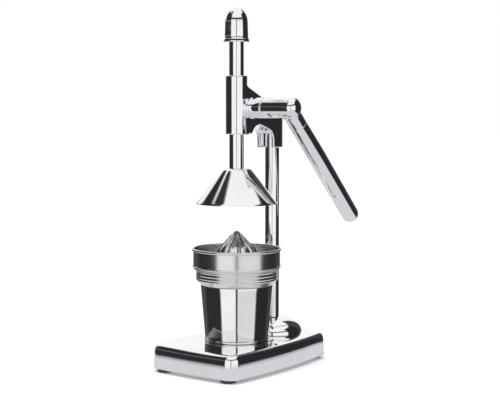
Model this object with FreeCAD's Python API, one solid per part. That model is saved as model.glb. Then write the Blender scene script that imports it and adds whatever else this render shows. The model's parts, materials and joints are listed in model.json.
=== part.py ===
"""Lever citrus juice press: a bright tray and column, a rack and pinion head, a cup and a strainer.

Millimetres. The shapes are set out about the ram's axis, with the floor at z = 0, the column
behind at +Y and the lever on the right at +X. At the end they all move together, so that the
origin is on the floor under the middle of the press at rest.
"""
import FreeCAD, Part
import math
import os

from FreeCAD import Vector

# Tray
foot_height = 9.0
foot_radius = 8.5
foot_taper = 0.7
foot_pad_height = 3.4
foot_neck_radius = 5.5
tray_lift = 4.0
tray_height = 25.5
tray_wall = 1.5
tray_half_width = 62.5
tray_front = 82.5
tray_rear = 98.5
tray_side_bow = 6.5
tray_end_bow = 2.5
tray_corner = 14.0
tray_shoulder = 10.0
tray_flare = 1.5
plate_thickness = 4.0
plate_gap = 0.5
post_inset = 13.0
post_end_inset = 12.0
post_radius = 5.0
post_below_top = 3.5
foot_screw_radius = 2.0
foot_screw_head_radius = 4.0
foot_screw_head_height = 2.4
foot_screw_recess = 3.0
foot_screw_grip = 8.0

# Column and its foot
column_offset = 66.0
column_radius = 8.0
column_spigot_radius = 7.0
mound_radius = 34.0
mound_height = 17.5
mound_socket = 6.0
nest_gap = 1.5
spacer_radius = 15.0
column_bolt_radius = 4.0
column_bolt_grip = 22.0
column_bolt_head_radius = 6.5
column_bolt_head_height = 5.0
column_washer_radius = 9.0
column_washer_thickness = 1.5
hex_key_radius = 2.4
hex_key_depth = 2.6

# Head casting
sleeve_radius = 11.8
sleeve_below_axis = 28.6
sleeve_length = 63.5
web_top_drop = 9.0
web_slope = 0.44
arch_start = 13.3
arch_rise = 10.0
arch_crown = 13.5
arch_haunch_reach = 5.9
arch_haunch_rise = 6.8
arch_end_rise = 5.0
saddle_reach = 13.0
saddle_drop = 16.0
throat_bend = 9.9
throat_turn = 2.6
throat_turn_drop = 1.0
throat_end_drop = 8.8
column_in_head = 34.0
saddle_screw_radius = 2.5
saddle_screw_proud = 0.6
saddle_screw_low = 8.5
saddle_screw_spacing = 15.3
screw_count = 2

# Lever's axis and its bearings
axis_height = 282.6
gear_module = 1.5
pinion_teeth = 12
pressure_angle = 20.0
backlash = 0.25
root_gap = 0.375
pinion_width = 7.6
boss_radius = 11.25
boss_end = 28.2
shaft_radius = 6.0
shaft_bush_wall = 2.0
pinion_cavity_gap = 0.8
cover_flange = 2.1
cover_flange_thickness = 2.0
cover_thickness = 3.0
cover_blind = 1.2
spanner_hole_radius = 1.5
spanner_hole_depth = 1.0
spanner_hole_place = 8.5
running_gap = 0.05
side_gap = 0.3

# Ram
rod_radius = 8.0
rod_bush_wall = 1.5
rod_bush_length = 14.0
rod_spigot_radius = 5.0
rack_width = 8.4
rack_tip_depth = 1.0
rack_gaps_above = 10
rack_gaps_below = 3
ram_down = 35.3
stop_gap = 0.5
bell_below_sleeve = 36.5
knob_radius = 12.4
knob_skirt_radius = 12.8
knob_flare_height = 7.2
knob_bend_out = 0.25
knob_bend_rise = 5.0
knob_lip_radius = 14.2
knob_lip_height = 3.3
knob_lip_slope = 0.5
knob_lip_edge = 0.8
knob_straight = 13.7
knob_dome = 16.5
knob_socket = 3.0
knob_thread = 18.0
bell_top_radius = 15.0
bell_bottom_radius = 43.6
bell_height = 38.6
bell_wall = 1.6
bell_crown = 3.0
bell_shoulder = 2.5
bell_lip = 0.9
bell_lip_height = 1.6
bell_washer_radius = 9.0
bell_washer_thickness = 1.5
bell_screw_radius = 3.0
bell_screw_head_radius = 5.0
bell_screw_head_height = 4.0
bell_screw_grip = 14.0

# Lever
hub_straight = 35.5
hub_dome = 8.1
arm_from_hub_end = 13.6
arm_angle = 44.6
arm_reach = 183.0
neck_radius = 9.3
neck_length = 26.0
arm_swell_radius = 10.3
arm_swell_reach = 70.0
arm_end_radius = 10.0
arm_bore = 7.6
arm_spigot = 18.0
end_dome = 9.5
hub_screw_radius = 2.5
hub_screw_place = 11.0
shaft_in_hub = 30.0

# Cup
seat_gap = 0.2
cup_height = 61.0
cup_foot_radius = 34.9
cup_rim_radius = 39.9
cup_wall = 1.0
cup_bead = 1.2
cup_floor_lift = 2.0

# Strainer
bowl_height = 38.9
bowl_radius = 47.9
bowl_wall = 1.2
rim_bead = 1.4
rim_overhang = 0.6
bead_below_rim = 19.2
bead_radius = 0.9
waist_radius = 45.0
waist_below_rim = 23.0
rib_depth = 0.7
rib_pitch = 3.4
chamfer_height = 5.6
neck_gap = 0.4
neck_depth = 7.0
ledge_radius = 40.3
flange_thickness = 1.2
flange_gap = 0.3
reamer_radius = 28.0
reamer_height = 40.0
reamer_bulge = 2.0
reamer_tip_radius = 4.0
reamer_tip_dome = 2.0
reamer_hollow_height = 32.0
reamer_wall = 2.4
reamer_ribs = 8
reamer_rib_height = 2.0
reamer_rib_width = 2.4
reamer_rib_root = 0.8
drain_hole_radius = 1.7
drain_rows = 2
drain_holes_per_row = 36
drain_row_pitch = 5.0

# How far a cut runs past a face, and how close an edge counts as being at a height
cut_over = 1.0
close_to = 0.01

# Heights and places that follow
tray_top = tray_lift + tray_height
plate_top = foot_height + plate_thickness
mound_top = tray_top + mound_height
sleeve_bottom = axis_height - sleeve_below_axis
sleeve_top = sleeve_bottom + sleeve_length
saddle_bottom = sleeve_bottom - saddle_drop
knob_bottom = sleeve_top + ram_down + stop_gap
bell_top = sleeve_bottom - bell_below_sleeve
bell_bottom = bell_top - bell_height
pinion_radius = gear_module * pinion_teeth / 2
rack_pitch = math.pi * gear_module
rack_tip = rod_radius - rack_tip_depth
rack_line = rack_tip - gear_module
rack_root = rack_line - gear_module - root_gap
axis_offset = rack_line + pinion_radius
pinion_outer = pinion_radius + gear_module
pinion_root = pinion_radius - gear_module - root_gap
cavity_radius = pinion_outer + pinion_cavity_gap
cavity_right = pinion_width / 2 + side_gap
hub_start = boss_end + side_gap
hub_end = hub_start + hub_straight + hub_dome
arm_place = hub_end - arm_from_hub_end
end_ball = (arm_end_radius ** 2 + end_dome ** 2) / (2 * end_dome)
arm_back = axis_offset + (arm_reach - end_ball) * math.cos(math.radians(arm_angle)) + end_ball
middle_right = round((hub_end - tray_half_width) / 2, 1)
middle_back = round((arm_back - tray_front) / 2, 1)
cup_floor = tray_top + seat_gap
cup_top = cup_floor + cup_height
cup_taper = (cup_rim_radius - cup_foot_radius) / cup_height
bowl_seat = cup_top + seat_gap
rim_height = bowl_seat + bowl_height
waist_top = rim_height - waist_below_rim
flange_bottom = waist_top + bowl_wall * 2
flange_top = flange_bottom + flange_thickness
UP = Vector(0, 0, 1)
RIGHT = Vector(1, 0, 0)
BACK = Vector(0, 1, 0)
ARM = Vector(0, math.cos(math.radians(arm_angle)), -math.sin(math.radians(arm_angle)))
ARM_SIDE = RIGHT.cross(ARM)
AXIS_POINT = Vector(0, axis_offset, axis_height)


def rod(radius, bottom, top, x=0.0, y=0.0):
    """An upright cylinder between two heights."""
    return Part.makeCylinder(radius, top - bottom, Vector(x, y, bottom), UP)


def cross_rod(radius, left, right):
    """A cylinder on the lever's axis between two places along X."""
    return Part.makeCylinder(radius, right - left, AXIS_POINT + RIGHT * left, RIGHT)


def box(x0, x1, y0, y1, z0, z1):
    """A block between two corners."""
    return Part.makeBox(x1 - x0, y1 - y0, z1 - z0, Vector(x0, y0, z0))


def point(radius, height, y=0.0):
    """A point of a turned profile, in the plane of X and Z."""
    return Vector(radius, y, height)


def line(a, b):
    return Part.makeLine(a, b)


def arc(a, b, c):
    return Part.Arc(a, b, c).toShape()


def turned(edges, y=0.0):
    """A solid turned about the upright axis at (0, y) from a closed profile."""
    face = Part.Face(Part.Wire(Part.__sortEdges__(edges)))
    return face.revolve(Vector(0, y, 0), UP, 360)


def turned_polygon(points, y=0.0):
    corners = [point(r, z, y) for r, z in points]
    return turned(Part.makePolygon(corners + corners[:1]).Edges, y)


def fused(shapes):
    """One solid from several that overlap or touch."""
    return shapes[0].multiFuse(shapes[1:]).removeSplitter()


def dome_arc(centre, radius, height):
    """A quarter of an upright ellipse, from its crown on the axis out to its foot."""
    crown = centre + UP * height
    side = centre + RIGHT * radius
    far, near = (crown, side) if height > radius else (side, crown)
    ellipse = Part.Ellipse(far, near, centre)
    return Part.ArcOfEllipse(ellipse, 0, math.pi / 2).toShape()


def tray_section(inset, height):
    """The tray's outline: four bowed sides joined by round corners."""
    x = tray_half_width - inset - tray_side_bow
    front = -(tray_front - inset - tray_end_bow)
    rear = tray_rear - inset - tray_end_bow
    middle = (front + rear) / 2
    edges = [
        arc(Vector(-x, front, height), Vector(0, front - tray_end_bow, height), Vector(x, front, height)),
        arc(Vector(x, front, height), Vector(x + tray_side_bow, middle, height), Vector(x, rear, height)),
        arc(Vector(x, rear, height), Vector(0, rear + tray_end_bow, height), Vector(-x, rear, height)),
        arc(Vector(-x, rear, height), Vector(-x - tray_side_bow, middle, height), Vector(-x, front, height)),
    ]
    block = Part.Face(Part.Wire(edges)).extrude(UP)
    upright = [e for e in block.Edges if e.BoundBox.ZLength > close_to]
    rounded = block.makeFillet(tray_corner - inset, upright)
    low = [f for f in rounded.Faces if f.BoundBox.ZMax < height + close_to]
    return low[0].OuterWire


def tray_solid(inset, bottom, top, shoulder):
    """The tray's outer or inner form: a flared skirt under a round shoulder."""
    low = tray_section(inset, bottom)
    high = tray_section(inset + tray_flare, top)
    body = Part.makeLoft([low, high], True, True)
    rim = [e for e in body.Edges if min(v.Z for v in e.Vertexes) > top - close_to]
    return body.makeFillet(shoulder, rim)


def corner_places():
    """The four places under the tray's corners, by name."""
    x = tray_half_width - tray_side_bow - post_inset
    front = -(tray_front - post_end_inset)
    rear = tray_rear - post_end_inset
    return {
        "front_left": (-x, front),
        "front_right": (x, front),
        "rear_left": (-x, rear),
        "rear_right": (x, rear),
    }


def base_shell():
    outer = tray_solid(0.0, tray_lift, tray_top, tray_shoulder)
    inner = tray_solid(tray_wall, tray_lift, tray_top - tray_wall, tray_shoulder - tray_wall)
    shell = outer.cut(inner)
    posts = [rod(post_radius, plate_top, tray_top - post_below_top, x, y) for x, y in corner_places().values()]
    shell = fused([shell] + posts)
    for x, y in corner_places().values():
        shell = shell.cut(rod(foot_screw_radius, plate_top, plate_top + foot_screw_grip, x, y))
    return shell.cut(rod(column_spigot_radius, tray_lift, tray_top + cut_over, 0, column_offset))


def base_plate():
    rise = (foot_height - tray_lift) / tray_height * tray_flare
    face = Part.Face(tray_section(tray_wall + rise + tray_flare + plate_gap, foot_height))
    plate = face.extrude(UP * plate_thickness)
    plate = plate.cut(rod(column_bolt_radius, foot_height, plate_top, 0, column_offset))
    for x, y in corner_places().values():
        plate = plate.cut(rod(foot_screw_radius, foot_height, plate_top, x, y))
    return plate


def foot(x, y):
    """A pad under the skirt, with a neck up to the plate."""
    sole = foot_radius - foot_taper
    pad = Part.makeCone(sole, foot_radius, foot_pad_height, Vector(x, y, 0), UP)
    pad = fused([pad, rod(foot_neck_radius, 0, foot_height, x, y)])
    pad = pad.cut(rod(foot_screw_head_radius, 0, foot_screw_recess, x, y))
    return pad.cut(rod(foot_screw_radius, 0, foot_height, x, y))


def foot_screw(x, y):
    seat = foot_screw_recess
    low = seat - foot_screw_head_height
    head = rod(foot_screw_head_radius, low, seat, x, y)
    head = head.cut(rod(foot_screw_radius, low, low + foot_screw_head_height / 2, x, y))
    return fused([head, rod(foot_screw_radius, seat, plate_top + foot_screw_grip, x, y)])


def column_foot():
    """A low dome round the column, hollowed at the front so that the cup nests against it."""
    foot_edge = point(mound_radius, tray_top, column_offset)
    crown = point(0, mound_top, column_offset)
    centre = point(0, tray_top, column_offset)
    side = dome_arc(centre, mound_radius, mound_height)
    dome = turned([line(centre, foot_edge), side, line(crown, centre)], column_offset)
    nest = cup_foot_radius + cup_taper * mound_height + nest_gap
    dome = dome.cut(rod(nest, tray_top, mound_top))
    socket = mound_top - mound_socket
    dome = dome.cut(rod(column_spigot_radius, tray_top, mound_top, 0, column_offset))
    return dome.cut(rod(column_radius, socket, mound_top, 0, column_offset))


def column():
    shoulder = mound_top - mound_socket
    head_end = saddle_bottom + column_in_head
    post = rod(column_radius, shoulder, head_end, 0, column_offset)
    post = fused([post, rod(column_spigot_radius, plate_top, shoulder, 0, column_offset)])
    return post.cut(rod(column_bolt_radius, plate_top, plate_top + column_bolt_grip, 0, column_offset))


def column_spacer():
    ring = rod(spacer_radius, plate_top, tray_top - tray_wall, 0, column_offset)
    return ring.cut(rod(column_spigot_radius, plate_top, tray_top - tray_wall, 0, column_offset))


def column_washer():
    bottom = foot_height - column_washer_thickness
    ring = rod(column_washer_radius, bottom, foot_height, 0, column_offset)
    return ring.cut(rod(column_bolt_radius, bottom, foot_height, 0, column_offset))


def hexagon(radius, bottom, top, x, y):
    """A six-sided prism for a bolt's head or a key's recess."""
    turns = [math.radians(60 * k) for k in range(7)]
    corners = [Vector(x + radius * math.cos(t), y + radius * math.sin(t), bottom) for t in turns]
    return Part.Face(Part.makePolygon(corners)).extrude(UP * (top - bottom))


def column_bolt():
    seat = foot_height - column_washer_thickness
    head = hexagon(column_bolt_head_radius, seat - column_bolt_head_height, seat, 0, column_offset)
    shank = rod(column_bolt_radius, seat, plate_top + column_bolt_grip, 0, column_offset)
    return fused([head, shank])


def head_profile():
    """The web seen from the side: sloping top, arch below, saddle at the back."""
    rear = column_offset + sleeve_radius
    web_top = sleeve_top - web_top_drop
    saddle_front = column_offset - saddle_reach
    crown = Vector(0, arch_start + arch_crown, sleeve_bottom + arch_rise)
    start = Vector(0, arch_start, sleeve_bottom)
    rise = Vector(0, arch_start + arch_haunch_reach, sleeve_bottom + arch_haunch_rise)
    bend = Vector(0, saddle_front - throat_bend, sleeve_bottom + arch_end_rise)
    turn = Vector(0, saddle_front - throat_turn, sleeve_bottom - throat_turn_drop)
    drop = Vector(0, saddle_front, sleeve_bottom - throat_end_drop)
    foot_front = Vector(0, saddle_front, saddle_bottom)
    foot_rear = Vector(0, rear, saddle_bottom)
    back_top = Vector(0, rear, web_top - rear * web_slope)
    front_top = Vector(0, 0, web_top)
    front_low = Vector(0, 0, sleeve_bottom)
    return [
        line(front_low, start), arc(start, rise, crown), line(crown, bend), arc(bend, turn, drop),
        line(drop, foot_front), line(foot_front, foot_rear), line(foot_rear, back_top),
        line(back_top, front_top), line(front_top, front_low),
    ]


def head_casting():
    web = Part.Face(Part.Wire(head_profile())).extrude(RIGHT * (2 * sleeve_radius))
    web.translate(RIGHT * -sleeve_radius)
    low = saddle_bottom
    plan = fused([
        box(-sleeve_radius, sleeve_radius, 0, column_offset, low, sleeve_top),
        rod(sleeve_radius, low, sleeve_top, 0, column_offset),
    ])
    web = web.common(plan)
    sleeve = rod(sleeve_radius, sleeve_bottom, sleeve_top)
    boss = cross_rod(boss_radius, 0, boss_end)
    head = fused([web, sleeve, boss])
    bore = rod_radius + rod_bush_wall
    head = head.cut(rod(bore, sleeve_bottom, sleeve_top))
    head = head.cut(cross_rod(cavity_radius, -sleeve_radius - cut_over, cavity_right))
    head = head.cut(cross_rod(shaft_radius + shaft_bush_wall, 0, boss_end))
    head = head.cut(rod(column_radius, low, low + column_in_head, 0, column_offset))
    channel_front = column_offset - saddle_reach - cut_over
    head = head.cut(box(-column_radius, column_radius, channel_front, column_offset, low, sleeve_bottom))
    for place in saddle_screw_places():
        head = head.cut(saddle_screw_hole(place))
    return head


def saddle_screw_places():
    """Heights of the grub screws at the back of the saddle."""
    return [saddle_bottom + saddle_screw_low + saddle_screw_spacing * k for k in range(screw_count)]


def saddle_screw_hole(height):
    start = Vector(0, column_offset + column_radius, height)
    return Part.makeCylinder(saddle_screw_radius, sleeve_radius, start, BACK)


def saddle_screws():
    screws = []
    for height in saddle_screw_places():
        start = Vector(0, column_offset + column_radius, height)
        length = sleeve_radius - column_radius + saddle_screw_proud
        screw = Part.makeCylinder(saddle_screw_radius, length, start, BACK)
        key = Part.makeCylinder(saddle_screw_radius / 2, saddle_screw_radius, start + BACK * length, -BACK)
        screws.append(screw.cut(key))
    return Part.makeCompound(screws)


def rod_bush(bottom):
    ring = rod(rod_radius + rod_bush_wall, bottom, bottom + rod_bush_length)
    return ring.cut(rod(rod_radius + running_gap, bottom, bottom + rod_bush_length))


def shaft_bush():
    """The shaft's bearing in the boss, relieved where the ram's rod passes its inner end."""
    ring = cross_rod(shaft_radius + shaft_bush_wall, cavity_right, boss_end)
    ring = ring.cut(cross_rod(shaft_radius + running_gap, cavity_right, boss_end))
    return ring.cut(rod(rod_radius + side_gap, sleeve_bottom, sleeve_top))


def pinion_cover():
    """A flanged plug in the left end of the pinion's bore, with a blind hole for the shaft."""
    face = -sleeve_radius
    plug = cross_rod(cavity_radius, face, face + cover_thickness)
    flange = cross_rod(cavity_radius + cover_flange, face - cover_flange_thickness, face)
    cover = fused([plug, flange])
    blind = face - cover_flange_thickness + cover_blind
    cover = cover.cut(cross_rod(shaft_radius + running_gap, blind, face + cover_thickness))
    for side in (-1, 1):
        hole = AXIS_POINT + RIGHT * (face - cover_flange_thickness) + UP * (side * spanner_hole_place)
        cover = cover.cut(Part.makeCylinder(spanner_hole_radius, spanner_hole_depth, hole, RIGHT))
    return cover


def involute(base, radius):
    """The angle by which an involute has turned when it reaches a radius."""
    spread = math.sqrt(max(0.0, (radius / base) ** 2 - 1))
    return spread - math.atan(spread)


def pinion_gap():
    """The space between two teeth, in the plane of Y and Z about the lever's axis."""
    base = pinion_radius * math.cos(math.radians(pressure_angle))
    half_pitch = math.pi / pinion_teeth / 2
    thin = backlash / 2 / pinion_radius
    start = max(base, pinion_root)
    at_pitch = involute(base, pinion_radius)
    steps = 5
    over = pinion_outer + gear_module
    flank = []
    for k in range(steps + 1):
        radius = start + (over - start) * k / steps
        flank.append((radius, half_pitch + thin - at_pitch + involute(base, radius)))
    low_angle = flank[0][1]
    high_angle = flank[-1][1]

    def place(radius, angle):
        return AXIS_POINT + Vector(0, -radius * math.cos(angle), radius * math.sin(angle))

    curves = []
    for side in (1, -1):
        spline = Part.BSplineCurve()
        spline.interpolate([place(r, side * a) for r, a in flank])
        curves.append(spline.toShape())
    root_left = place(pinion_root, low_angle)
    root_right = place(pinion_root, -low_angle)
    return curves + [
        line(place(over, high_angle), place(over, -high_angle)),
        line(place(start, -low_angle), root_right),
        arc(root_left, place(pinion_root, 0), root_right),
        line(root_left, place(start, low_angle)),
    ]


def pinion_shaft():
    gap = Part.Face(Part.Wire(Part.__sortEdges__(pinion_gap())))
    gap = gap.extrude(RIGHT * (pinion_width + 2 * cut_over))
    gap.translate(RIGHT * (-pinion_width / 2 - cut_over))
    pinion = cross_rod(pinion_outer, -pinion_width / 2, pinion_width / 2)
    for tooth in range(pinion_teeth):
        turn = 360.0 / pinion_teeth * (tooth + 0.5)
        cutter = gap.copy()
        cutter.rotate(AXIS_POINT, RIGHT, turn)
        pinion = pinion.cut(cutter)
    blind = -sleeve_radius - cover_flange_thickness + cover_blind
    shaft = cross_rod(shaft_radius, blind + side_gap, hub_start + shaft_in_hub)
    return fused([pinion, shaft])


def arm_rod(radius, start, end, far_radius=None):
    """A cylinder or cone on the arm's own axis, between two reaches from the hub's axis."""
    centre = AXIS_POINT + RIGHT * arm_place
    if far_radius is None:
        return Part.makeCylinder(radius, end - start, centre + ARM * start, ARM)
    return Part.makeCone(radius, far_radius, end - start, centre + ARM * start, ARM)


def dome_on(radius, height, base, direction):
    """A domed end: the cap of a sphere that meets a round end of a given radius."""
    sphere_radius = (radius * radius + height * height) / (2 * height)
    centre = base + direction * (height - sphere_radius)
    ball = Part.makeSphere(sphere_radius, centre)
    keep = Part.makeCylinder(radius, height + cut_over, base, direction)
    return ball.common(keep)


def lever_hub():
    straight_end = hub_start + hub_straight
    hub = cross_rod(boss_radius, hub_start, straight_end)
    dome = dome_on(boss_radius, hub_dome, AXIS_POINT + RIGHT * straight_end, RIGHT)
    neck = arm_rod(neck_radius, 0, neck_length)
    spigot = arm_rod(arm_bore, neck_length - cut_over, neck_length + arm_spigot)
    hub = fused([hub, dome, neck, spigot])
    hub = hub.cut(cross_rod(shaft_radius, hub_start, hub_start + shaft_in_hub))
    return hub.cut(hub_screw_hole(boss_radius))


def hub_screw_hole(length):
    start = AXIS_POINT + RIGHT * (hub_start + hub_screw_place)
    hole = Part.makeCylinder(hub_screw_radius, length, start, ARM_SIDE)
    return hole.cut(cross_rod(shaft_radius, hub_start, hub_start + shaft_in_hub))


def hub_grub_screw():
    depth = boss_radius - hub_screw_radius / 2
    screw = hub_screw_hole(depth)
    start = AXIS_POINT + RIGHT * (hub_start + hub_screw_place) + ARM_SIDE * depth
    return screw.cut(Part.makeCylinder(hub_screw_radius / 2, hub_screw_radius, start, -ARM_SIDE))


def lever_arm():
    end = arm_reach - end_dome
    arm = fused([
        arm_rod(neck_radius, neck_length, arm_swell_reach, arm_swell_radius),
        arm_rod(arm_swell_radius, arm_swell_reach, end, arm_end_radius),
    ])
    return arm.cut(arm_rod(arm_bore, neck_length, end))


def lever_end_cap():
    end = arm_reach - end_dome
    centre = AXIS_POINT + RIGHT * arm_place + ARM * end
    cap = dome_on(arm_end_radius, end_dome, centre, ARM)
    return fused([cap, arm_rod(arm_bore, end - arm_spigot, end)])


def rack_gaps():
    """The spaces between the rack's teeth, and the flat over their tips."""
    lean = math.tan(math.radians(pressure_angle))
    half_line = rack_pitch / 4 + backlash / 4
    outer = rod_radius + cut_over
    gaps = []
    for k in range(-rack_gaps_below, rack_gaps_above + 1):
        z = axis_height + k * rack_pitch
        wide = half_line + (outer - rack_line) * lean
        narrow = half_line - (rack_line - rack_root) * lean
        corners = [(rack_root, z - narrow), (outer, z - wide), (outer, z + wide), (rack_root, z + narrow)]
        corners = [Vector(-rack_width / 2, y, height) for y, height in corners]
        face = Part.Face(Part.makePolygon(corners + corners[:1]))
        gaps.append(face.extrude(RIGHT * rack_width))
    low = axis_height - (rack_gaps_below + 0.5) * rack_pitch
    high = axis_height + (rack_gaps_above + 0.5) * rack_pitch
    return gaps + [box(-rack_width / 2, rack_width / 2, rack_tip, outer, low, high)]


def ram_rod():
    shoulder = knob_bottom + knob_socket
    shaft = rod(rod_radius, bell_top, shoulder)
    top = rod(rod_spigot_radius, shoulder, knob_bottom + knob_thread)
    low = rod(rod_spigot_radius, bell_top - bell_crown, bell_top)
    ram = fused([low, shaft, top])
    ram = ram.cut(rod(bell_screw_radius, bell_top - bell_crown, bell_top + bell_screw_grip))
    for gap in rack_gaps():
        ram = ram.cut(gap)
    return ram


def top_knob():
    """A round-topped knob whose skirt widens to a lip above the sleeve."""
    bottom_edge = point(knob_lip_radius - knob_lip_edge / 2, knob_bottom)
    lip = point(knob_lip_radius, knob_bottom + knob_lip_edge)
    lip_top = point(knob_lip_radius - knob_lip_slope, knob_bottom + knob_lip_height)
    flare_bend = point(knob_skirt_radius + knob_bend_out, knob_bottom + knob_bend_rise)
    flare_top = point(knob_skirt_radius, knob_bottom + knob_flare_height)
    dome_foot = point(knob_radius, knob_bottom + knob_flare_height + knob_straight)
    crown = dome_foot + UP * knob_dome - RIGHT * knob_radius
    side = dome_arc(point(0, dome_foot.z), knob_radius, knob_dome)
    centre = point(0, knob_bottom)
    knob = turned([
        line(centre, bottom_edge), line(bottom_edge, lip), line(lip, lip_top),
        arc(lip_top, flare_bend, flare_top), line(flare_top, dome_foot), side, line(crown, centre),
    ])
    knob = knob.cut(rod(rod_radius, knob_bottom, knob_bottom + knob_socket))
    return knob.cut(rod(rod_spigot_radius, knob_bottom, knob_bottom + knob_thread))


def press_bell():
    """A thin cone, open below, with a flat crown that the rod passes through."""
    slope = (bell_bottom_radius - bell_top_radius) / (bell_height - bell_lip_height)
    side = bell_wall * math.sqrt(1 + slope * slope)
    lip_top = bell_bottom + bell_lip_height
    inner_top = bell_top - bell_crown
    inner_top_radius = bell_top_radius + slope * bell_crown - side
    points = [
        (rod_spigot_radius, bell_top), (bell_top_radius, bell_top), (bell_bottom_radius, lip_top),
        (bell_bottom_radius + bell_lip, bell_bottom), (bell_bottom_radius + bell_lip - side, bell_bottom),
        (bell_bottom_radius - side, lip_top), (inner_top_radius, inner_top), (rod_spigot_radius, inner_top),
    ]
    bell = turned_polygon(points)
    top_edges = [e for e in bell.Edges if e.BoundBox.ZMin > bell_top - close_to]
    crown = [e for e in top_edges if e.BoundBox.XMax > bell_top_radius - close_to]
    return bell.makeFillet(bell_shoulder, crown)


def bell_washer():
    top = bell_top - bell_crown
    ring = rod(bell_washer_radius, top - bell_washer_thickness, top)
    return ring.cut(rod(bell_screw_radius, top - bell_washer_thickness, top))


def bell_screw():
    seat = bell_top - bell_crown - bell_washer_thickness
    low = seat - bell_screw_head_height
    head = rod(bell_screw_head_radius, low, seat)
    head = head.cut(hexagon(hex_key_radius, low, low + hex_key_depth, 0, 0))
    return fused([head, rod(bell_screw_radius, seat, bell_top + bell_screw_grip)])


def bead(radius, height, size):
    """A round ring on the ram's axis."""
    return Part.makeTorus(radius, size, Vector(0, 0, height), UP)


def juice_cup():
    """A tapered cup with a raised floor, a rolled foot and an open top."""
    floor = cup_floor + cup_floor_lift
    inside = cup_foot_radius - cup_wall
    inside_foot = inside + cup_taper * (cup_floor_lift + cup_wall)
    points = [
        (0, floor), (inside, floor), (inside, cup_floor), (cup_foot_radius, cup_floor),
        (cup_rim_radius, cup_top), (cup_rim_radius - cup_wall, cup_top),
        (inside_foot, floor + cup_wall), (0, floor + cup_wall),
    ]
    cup = turned_polygon(points)
    return fused([cup, bead(cup_foot_radius - cup_wall / 2, cup_floor + cup_bead, cup_bead)])


def strainer_bowl():
    """A straight band over a stepped, ribbed waist, a short funnel and a neck inside the cup."""
    wall = bowl_wall
    chamfer_top = bowl_seat + chamfer_height
    inner_waist = waist_radius - wall - rib_depth
    neck = cup_rim_radius - cup_wall - neck_gap
    neck_low = bowl_seat - neck_depth
    neck_end = neck - cup_taper * neck_depth
    ribs = []
    for k in (1, 2):
        middle = waist_top - rib_pitch * k + rib_pitch / 4
        ribs += [(waist_radius, middle + rib_pitch / 4), (waist_radius - rib_depth, middle)]
        ribs += [(waist_radius, middle - rib_pitch / 4)]
    points = [(bowl_radius, rim_height), (bowl_radius, waist_top + wall), (waist_radius, waist_top)]
    points += ribs
    points += [
        (waist_radius, chamfer_top), (ledge_radius, bowl_seat), (neck, bowl_seat), (neck_end, neck_low),
        (neck_end - wall, neck_low), (neck - wall, bowl_seat + wall), (inner_waist, chamfer_top + wall),
        (inner_waist, waist_top + wall), (bowl_radius - wall, flange_bottom),
        (bowl_radius - wall, rim_height),
    ]
    bowl = turned_polygon(points)
    rim = bead(bowl_radius + rim_overhang - wall / 2, rim_height - rim_bead / 2, rim_bead)
    band = bead(bowl_radius, rim_height - bead_below_rim, bead_radius)
    return fused([bowl, rim, band])


def reamer_profile(offset, drop):
    """The cone's outline from its foot to its shoulder, pushed outwards and ended lower."""
    foot_point = point(reamer_radius + offset, flange_top)
    shoulder = point(reamer_tip_radius + offset, flange_bottom + reamer_height - reamer_tip_dome - drop)
    middle = (foot_point + shoulder) * 0.5 + point(reamer_bulge, reamer_bulge)
    return foot_point, middle, shoulder


def reamer_rib():
    """One upright rib, rooted in the cone's wall."""
    foot_out, middle_out, end_out = reamer_profile(reamer_rib_height, reamer_rib_height)
    foot_in, middle_in, end_in = reamer_profile(-reamer_rib_root, reamer_rib_height)
    corners = [foot_in, foot_out, middle_out, end_out, end_in, middle_in, foot_in]
    blade = Part.Face(Part.makePolygon(corners)).extrude(BACK * reamer_rib_width)
    blade.translate(BACK * (-reamer_rib_width / 2))
    return blade


def reamer_cone():
    """A ribbed cone on a flat ring of drain holes."""
    reach = bowl_radius - bowl_wall - flange_gap
    flange = rod(reach, flange_bottom, flange_top)
    foot_point, middle, shoulder = reamer_profile(0, 0)
    centre, tip_base = point(0, foot_point.z), point(0, shoulder.z)
    cone = turned(Part.makePolygon([centre, foot_point, middle, shoulder, tip_base, centre]).Edges)
    shapes = [flange, cone, dome_on(reamer_tip_radius, reamer_tip_dome, tip_base, UP)]
    for k in range(reamer_ribs):
        rib = reamer_rib()
        rib.rotate(Vector(0, 0, 0), UP, 360.0 / reamer_ribs * k)
        shapes.append(rib)
    hollow_top = flange_bottom + reamer_hollow_height
    hollow_foot = reamer_radius - reamer_wall
    hollow = turned_polygon([
        (0, flange_bottom), (hollow_foot, flange_bottom), (reamer_tip_radius, hollow_top), (0, hollow_top),
    ])
    holes = []
    for row in range(drain_rows):
        radius = reach - drain_row_pitch * (row + 1)
        for k in range(drain_holes_per_row):
            turn = 2 * math.pi * (k + row / 2) / drain_holes_per_row
            x, y = radius * math.cos(turn), radius * math.sin(turn)
            holes.append(rod(drain_hole_radius, flange_bottom, flange_top, x, y))
    return fused(shapes).cut(hollow).cut(Part.makeCompound(holes))


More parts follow.
